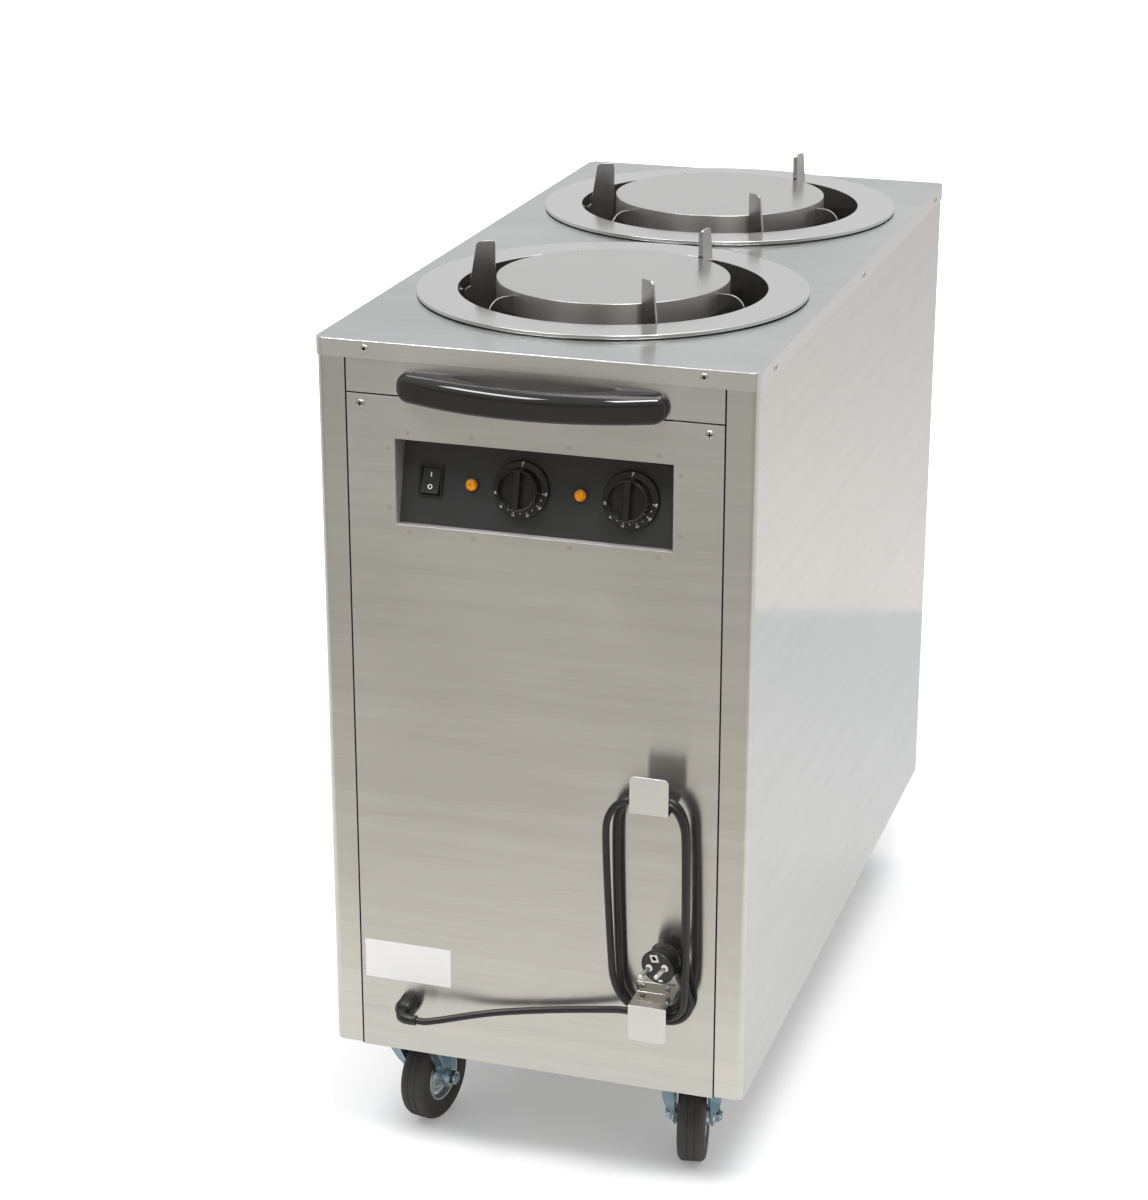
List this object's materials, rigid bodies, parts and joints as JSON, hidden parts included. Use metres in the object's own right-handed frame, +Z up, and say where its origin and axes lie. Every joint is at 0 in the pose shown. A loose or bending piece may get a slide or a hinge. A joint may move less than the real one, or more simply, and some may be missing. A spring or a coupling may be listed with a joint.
{
  "type": "plate dispenser cart",
  "caption": "Heated plate dispenser cart with two spring-lift wells in a stainless cabinet, a recessed control panel, a push handle, cord hooks and swivel casters.",
  "frame": {"origin": "on the floor under the middle of the whole cart, push handle included and mains cord left out", "axes": "+X to the right seen from the front, +Y to the rear, +Z up; the controls and the push handle face -Y"},
  "size_m": [0.45, 0.966, 0.944],
  "materials": {
    "brushed_steel": "fine vertical brushing",
    "top_steel": "fine brushing, bright",
    "finger_steel": "brushed",
    "well_steel": "dull",
    "control_plate": "satin black",
    "switch_plastic": "gloss black",
    "knob_plastic": "satin black with white figures",
    "amber_lens": "lit amber lens",
    "thermostat_case": "plain",
    "handle_plastic": "gloss black",
    "gland_plastic": "satin black",
    "plug_rubber": "satin black",
    "cord_sheath": "satin black",
    "heater_tube": "oxidised",
    "spring_steel": "plain",
    "zinc": "bright blue zinc plate",
    "wheel_rim": "bright blue zinc plate",
    "tyre_rubber": "black-brown rubber"
  },
  "bodies": {
    "cabinet": {"side_shell_left": "brushed_steel", "side_shell_right": "brushed_steel", "front_fascia": "brushed_steel", "front_panel": "brushed_steel", "rear_panel": "brushed_steel", "base_plate": "brushed_steel", "control_recess": "brushed_steel", "cord_hook_upper": "brushed_steel", "cord_hook_lower": "brushed_steel", "top_cover": "top_steel", "control_plate": "control_plate", "switch_body": "switch_plastic", "lamp_left": "amber_lens", "lamp_right": "amber_lens", "thermostat_left": "thermostat_case", "thermostat_right": "thermostat_case", "push_handle": "handle_plastic", "cable_gland": "gland_plastic", "plug": "plug_rubber", "cord_lead": "cord_sheath", "cord_winding": "cord_sheath", "well_front": "well_steel", "ring_front": "top_steel", "heater_front": "heater_tube", "finger_front_right": "finger_steel", "finger_front_back": "finger_steel", "finger_front_left": "finger_steel", "spring_front_1": "spring_steel", "spring_front_2": "spring_steel", "spring_front_3": "spring_steel", "well_rear": "well_steel", "ring_rear": "top_steel", "heater_rear": "heater_tube", "finger_rear_right": "finger_steel", "finger_rear_back": "finger_steel", "finger_rear_left": "finger_steel", "spring_rear_1": "spring_steel", "spring_rear_2": "spring_steel", "spring_rear_3": "spring_steel", "caster_plate_front_left": "zinc", "caster_plate_front_right": "zinc", "caster_plate_rear_left": "zinc", "caster_plate_rear_right": "zinc"},
    "lift_front": {"lift_front": "top_steel"},
    "lift_rear": {"lift_rear": "top_steel"},
    "knob_left": {"knob_left": "knob_plastic"},
    "knob_right": {"knob_right": "knob_plastic"},
    "rocker": {"switch_rocker": "switch_plastic"},
    "swivel_front_left": {"caster_fork_front_left": "zinc"},
    "wheel_front_left": {"wheel_rim_front_left": "wheel_rim", "wheel_tyre_front_left": "tyre_rubber"},
    "swivel_front_right": {"caster_fork_front_right": "zinc"},
    "wheel_front_right": {"wheel_rim_front_right": "wheel_rim", "wheel_tyre_front_right": "tyre_rubber"},
    "swivel_rear_left": {"caster_fork_rear_left": "zinc"},
    "wheel_rear_left": {"wheel_rim_rear_left": "wheel_rim", "wheel_tyre_rear_left": "tyre_rubber"},
    "swivel_rear_right": {"caster_fork_rear_right": "zinc"},
    "wheel_rear_right": {"wheel_rim_rear_right": "wheel_rim", "wheel_tyre_rear_right": "tyre_rubber"}
  },
  "joints": [
    {"name": "lift_front_slide", "type": "slide", "parent": "cabinet", "child": "lift_front", "axis": [0, 0, 1], "range_m": [-0.5, 0], "stiffness_N_per_m": 550, "springref_m": 0.08, "deforming": ["spring_front_1", "spring_front_2", "spring_front_3"]},
    {"name": "lift_rear_slide", "type": "slide", "parent": "cabinet", "child": "lift_rear", "axis": [0, 0, 1], "range_m": [-0.5, 0], "stiffness_N_per_m": 550, "springref_m": 0.08, "deforming": ["spring_rear_1", "spring_rear_2", "spring_rear_3"]},
    {"name": "knob_left_turn", "type": "hinge", "parent": "cabinet", "child": "knob_left", "pos_m": [-0.0173, -0.41373, 0.75681], "axis": [0, 0.9705, -0.2413], "range_deg": [0, 270]},
    {"name": "knob_right_turn", "type": "hinge", "parent": "cabinet", "child": "knob_right", "pos_m": [0.095, -0.41373, 0.75681], "axis": [0, 0.9705, -0.2413], "range_deg": [0, 270]},
    {"name": "rocker_tilt", "type": "hinge", "parent": "cabinet", "child": "rocker", "pos_m": [-0.112, -0.41373, 0.75681], "axis": [1, 0, 0], "range_deg": [0, 20]},
    {"name": "swivel_front_left_turn", "type": "hinge", "parent": "cabinet", "child": "swivel_front_left", "pos_m": [-0.152, -0.36175, 0.1], "axis": [0, 0, 1], "continuous": true},
    {"name": "wheel_front_left_roll", "type": "hinge", "parent": "swivel_front_left", "child": "wheel_front_left", "pos_m": [-0.14836, -0.34208, 0.05], "axis": [0.9833, -0.1822, 0], "continuous": true},
    {"name": "swivel_front_right_turn", "type": "hinge", "parent": "cabinet", "child": "swivel_front_right", "pos_m": [0.152, -0.36175, 0.1], "axis": [0, 0, 1], "continuous": true},
    {"name": "wheel_front_right_roll", "type": "hinge", "parent": "swivel_front_right", "child": "wheel_front_right", "pos_m": [0.14818, -0.34212, 0.05], "axis": [0.9816, 0.1908, 0], "continuous": true},
    {"name": "swivel_rear_left_turn", "type": "hinge", "parent": "cabinet", "child": "swivel_rear_left", "pos_m": [-0.152, 0.40225, 0.1], "axis": [0, 0, 1], "continuous": true},
    {"name": "wheel_rear_left_roll", "type": "hinge", "parent": "swivel_rear_left", "child": "wheel_rear_left", "pos_m": [-0.14387, 0.42052, 0.05], "axis": [0.9135, -0.4067, 0], "continuous": true},
    {"name": "swivel_rear_right_turn", "type": "hinge", "parent": "cabinet", "child": "swivel_rear_right", "pos_m": [0.152, 0.40225, 0.1], "axis": [0, 0, 1], "continuous": true},
    {"name": "wheel_rear_right_roll", "type": "hinge", "parent": "swivel_rear_right", "child": "wheel_rear_right", "pos_m": [0.14615, 0.42138, 0.05], "axis": [0.9563, 0.2924, 0], "continuous": true}
  ]
}
